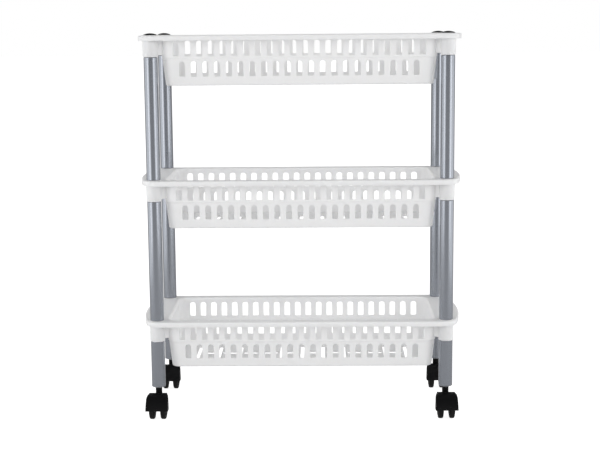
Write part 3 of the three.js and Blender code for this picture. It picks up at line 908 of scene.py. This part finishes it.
def make_joiners():
    for corner in CORNERS:
        for tier in TIERS[1:]:
            node = f"tube_joiner_{tier}_{corner}"
            half = half_height(node)
            profile = tube_profile(PLUG_RADIUS, PLUG_RADIUS - SHEET, -half, half, 0.8)
            turned_part(node, "frame", "joiner_plastic", profile)


def make_stem(corner):
    """The stem with its flange, its groove and a chamfered tip, and the spring ring in the groove."""
    node = f"caster_stem_{corner}"
    ring_node = f"grip_ring_{corner}"
    half = half_height(node)
    ring = (centre_of(ring_node).z - centre_of(node).z) / MM
    ring_half = half_height(ring_node)
    flange = (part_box(f"caster_hood_{corner}")[1][2] - centre_of(node).z) / MM + FLANGE_GAP
    groove_half = ring_half + FLANGE_GAP
    turned_part(node, f"caster_{corner}", "steel", [
        (0, -half), (STEM_RADIUS - 0.5, -half), (STEM_RADIUS, 0.5 - half), (STEM_RADIUS, flange),
        (FLANGE_RADIUS - 0.3, flange), (FLANGE_RADIUS, flange + 0.3),
        (FLANGE_RADIUS, flange + FLANGE_THICKNESS - 0.3), (FLANGE_RADIUS - 0.3, flange + FLANGE_THICKNESS),
        (STEM_RADIUS, flange + FLANGE_THICKNESS), (STEM_RADIUS, ring - groove_half),
        (GROOVE_RADIUS, ring - groove_half), (GROOVE_RADIUS, ring + groove_half),
        (STEM_RADIUS, ring + groove_half), (STEM_RADIUS, half - 1.8), (STEM_RADIUS - 1.8, half), (0, half),
    ])
    outer = (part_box(ring_node)[1][0] - centre_of(ring_node).x) / MM
    wire = tube_profile(outer, GROOVE_RADIUS + FLANGE_GAP, -ring_half, ring_half, 0.5)
    turned_part(ring_node, f"caster_{corner}", "steel", wire)


def make_socket(corner):
    """The nylon insert in the foot of a leg, bored for the stem and grooved for its ring."""
    node = f"caster_socket_{corner}"
    half = half_height(node)
    ring = (centre_of(f"grip_ring_{corner}").z - centre_of(node).z) / MM
    reach = half_height(f"grip_ring_{corner}") + 2 * FLANGE_GAP
    groove = GROOVE_RADIUS + 1.9
    turned_part(node, "frame", "socket_nylon", [
        (STEM_HOLE + 0.4, -half), (PLUG_RADIUS - 0.4, -half), (PLUG_RADIUS, 0.4 - half),
        (PLUG_RADIUS, half - 0.8), (PLUG_RADIUS - 0.8, half), (0, half), (0, half - 3),
        (STEM_HOLE, half - 3), (STEM_HOLE, ring + reach), (groove, ring + reach),
        (groove, ring - reach), (STEM_HOLE, ring - reach), (STEM_HOLE, 0.4 - half),
        (STEM_HOLE + 0.4, -half),
    ])


# ---------- stage, lights and camera ----------

def make_floor():
    bm = bmesh.new()
    bmesh.ops.create_grid(bm, x_segments=4, y_segments=4, size=30)
    floor = add_object("floor", mesh_from(bm, "floor"))
    paint = bpy.data.materials.new("pale_floor")
    paint.use_nodes = True
    shader = paint.node_tree.nodes["Principled BSDF"]
    shader.inputs["Base Color"].default_value = (0.55, 0.55, 0.55, 1)
    shader.inputs["Roughness"].default_value = 0.9
    shader.inputs["Specular IOR Level"].default_value = 0.0
    shader.inputs["Emission Color"].default_value = (1, 1, 1, 1)
    path = paint.node_tree.nodes.new("ShaderNodeLightPath")
    glow = paint.node_tree.nodes.new("ShaderNodeMapRange")
    glow.inputs["To Min"].default_value = FLOOR_GLOW
    glow.inputs["To Max"].default_value = FLOOR_GLOW_SEEN
    paint.node_tree.links.new(path.outputs["Is Camera Ray"], glow.inputs["Value"])
    paint.node_tree.links.new(glow.outputs["Result"], shader.inputs["Emission Strength"])
    floor.data.materials.append(paint)


def soft_box(name, place, target, width, height, power):
    light = bpy.data.lights.new(name, "AREA")
    light.shape = "RECTANGLE"
    light.size = width
    light.size_y = height
    light.energy = power
    box = bpy.data.objects.new(name, light)
    box.location = place
    box.rotation_euler = (Vector(target) - Vector(place)).to_track_quat("-Z", "Y").to_euler()
    box.visible_camera = False
    bpy.context.scene.collection.objects.link(box)


def make_world():
    world = bpy.data.worlds.new("white studio")
    world.use_nodes = True
    tree = world.node_tree
    seen = tree.nodes["Background"]
    seen.inputs["Color"].default_value = (1, 1, 1, 1)
    around = tree.nodes.new("ShaderNodeBackground")
    around.inputs["Color"].default_value = (1, 1, 1, 1)
    mix = tree.nodes.new("ShaderNodeMixShader")
    path = tree.nodes.new("ShaderNodeLightPath")
    height = tree.nodes.new("ShaderNodeSeparateXYZ")
    tree.links.new(tree.nodes.new("ShaderNodeTexCoord").outputs["Generated"], height.inputs["Vector"])
    overhead = tree.nodes.new("ShaderNodeMapRange")
    overhead.inputs["From Min"].default_value = 0.2
    overhead.inputs["From Max"].default_value = 0.75
    overhead.inputs["To Min"].default_value = 1.0
    overhead.inputs["To Max"].default_value = AMBIENT_OVERHEAD
    tree.links.new(height.outputs["Z"], overhead.inputs["Value"])
    tree.links.new(overhead.outputs["Result"], around.inputs["Color"])
    mirrored = tree.nodes.new("ShaderNodeMapRange")
    mirrored.inputs["To Min"].default_value = AMBIENT
    mirrored.inputs["To Max"].default_value = AMBIENT_MIRRORED
    tree.links.new(path.outputs["Is Glossy Ray"], mirrored.inputs["Value"])
    tree.links.new(mirrored.outputs["Result"], around.inputs["Strength"])
    tree.links.new(path.outputs["Is Camera Ray"], mix.inputs["Fac"])
    tree.links.new(around.outputs["Background"], mix.inputs[1])
    tree.links.new(seen.outputs["Background"], mix.inputs[2])
    tree.links.new(mix.outputs["Shader"], tree.nodes["World Output"].inputs["Surface"])
    bpy.context.scene.world = world


def make_camera():
    """Level with the top basket and about two metres away, looking slightly down."""
    rim_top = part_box("basket_top")[1][2]
    middle_y = centre_of("basket_top").y
    yaw, pitch, roll = CAMERA_YAW, CAMERA_PITCH, CAMERA_ROLL
    place = Vector((CAMERA_ASIDE, middle_y - CAMERA_DISTANCE, rim_top + CAMERA_ABOVE_RIM))
    forward = Vector((math.sin(yaw) * math.cos(pitch), math.cos(yaw) * math.cos(pitch), -math.sin(pitch)))
    level_right = Vector((math.cos(yaw), -math.sin(yaw), 0))
    level_up = level_right.cross(forward)
    right = level_right * math.cos(roll) - level_up * math.sin(roll)
    up = right.cross(forward)
    camera = bpy.data.cameras.new("camera")
    camera.sensor_width = 36
    camera.lens = CAMERA_LENS
    camera.clip_start = 0.05
    eye = bpy.data.objects.new("camera", camera)
    eye.matrix_world = Matrix((
        (right.x, up.x, -forward.x, place.x),
        (right.y, up.y, -forward.y, place.y),
        (right.z, up.z, -forward.z, place.z),
        (0, 0, 0, 1),
    ))
    bpy.context.scene.collection.objects.link(eye)
    bpy.context.scene.camera = eye


make_camera()
make_world()
make_floor()
for side in (-1, 1):
    for name, ((x, y, z), aim, width, height, power) in SOFT_BOXES.items():
        soft_box(f"{name}_{side}", (x * side, y, z), aim, width, height, power)
bpy.context.scene.view_settings.view_transform = "Standard"

make_baskets()
make_tubes()
make_caps()
make_joiners()
for corner in CORNERS:
    make_socket(corner)
    make_stem(corner)
    make_hood(corner)
    make_axle(corner)
    for side in ("outer", "inner"):
        make_wheel(side, corner)
